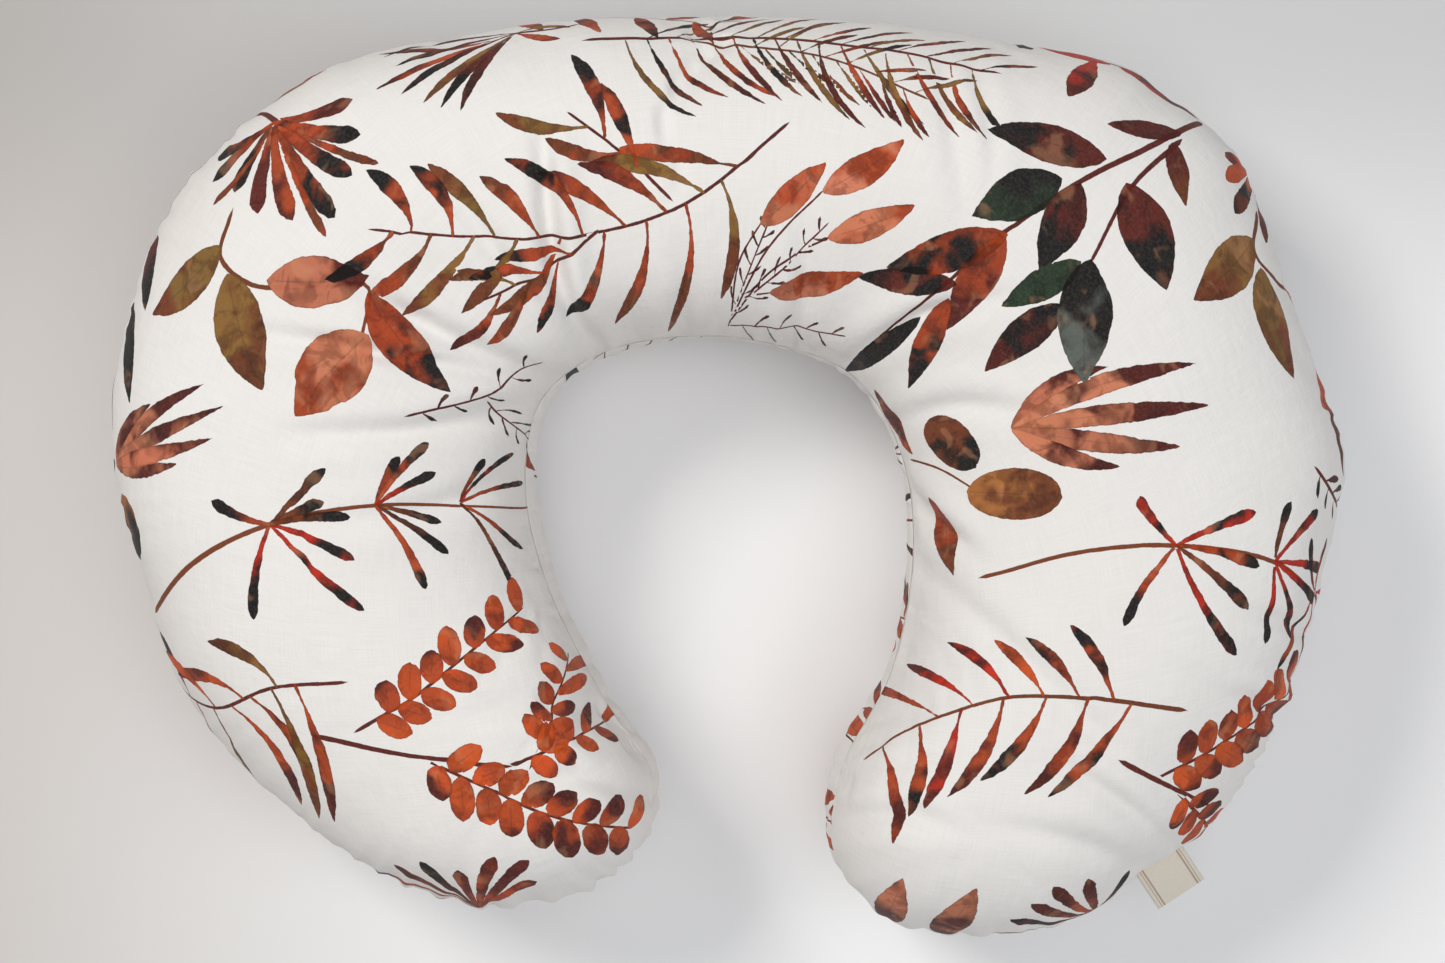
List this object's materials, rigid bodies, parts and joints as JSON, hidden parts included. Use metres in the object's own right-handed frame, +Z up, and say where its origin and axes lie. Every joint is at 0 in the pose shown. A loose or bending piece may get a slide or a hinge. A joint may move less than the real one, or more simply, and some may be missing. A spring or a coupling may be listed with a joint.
{
  "type": "nursing pillow",
  "caption": "C-shaped nursing pillow with a leaf-printed zipped cotton cover over a fibre-filled inner pillow.",
  "frame": {"origin": "middle of the pillow's footprint on the surface it lies on", "axes": "+Z up through the pillow's thickness, +X along its width, +Y from the opening towards the back of the C"},
  "size_m": [0.5484, 0.4096, 0.146],
  "materials": {
    "printed_cotton": "matt white cotton poplin, printed with watercolour autumn leaves in rust, brown, maroon and olive",
    "sewing_thread": "matt spun polyester thread",
    "label_ribbon": "fine cream woven ribbon",
    "zip_tape": "off-white herringbone woven tape",
    "zip_nylon": "off-white nylon monofilament",
    "zip_metal": "off-white painted zinc, worn at the edges",
    "liner_cotton": "matt white plain-weave cotton",
    "polyester_fibre": "loose white fibre"
  },
  "bodies": {
    "pillow": {"cover_top_panel": "printed_cotton", "cover_bottom_panel": "printed_cotton", "cover_seam_thread": "sewing_thread", "brand_label": "label_ribbon", "liner_top_panel": "liner_cotton", "liner_bottom_panel": "liner_cotton", "liner_seam_thread": "sewing_thread", "care_label": "label_ribbon", "fibre_filling": "polyester_fibre", "zip_tape_upper": "zip_tape", "zip_tape_lower": "zip_tape", "zip_coil_upper": "zip_nylon", "zip_coil_lower": "zip_nylon", "zip_top_stop_upper": "zip_metal", "zip_top_stop_lower": "zip_metal", "zip_bottom_stop": "zip_metal"},
    "slider": {"zip_slider": "zip_metal"},
    "pull": {"zip_pull": "zip_metal"}
  },
  "joints": [
    {"name": "zip_travel", "type": "hinge", "parent": "pillow", "child": "slider", "pos_m": [-0.00012, -0.49485, 0.062], "axis": [0, 0, 1], "range_deg": [0, 23]},
    {"name": "pull_swing", "type": "hinge", "parent": "slider", "child": "pull", "pos_m": [0.13928, 0.18868, 0.062], "axis": [0, 0, -1], "range_deg": [0, 165]}
  ]
}
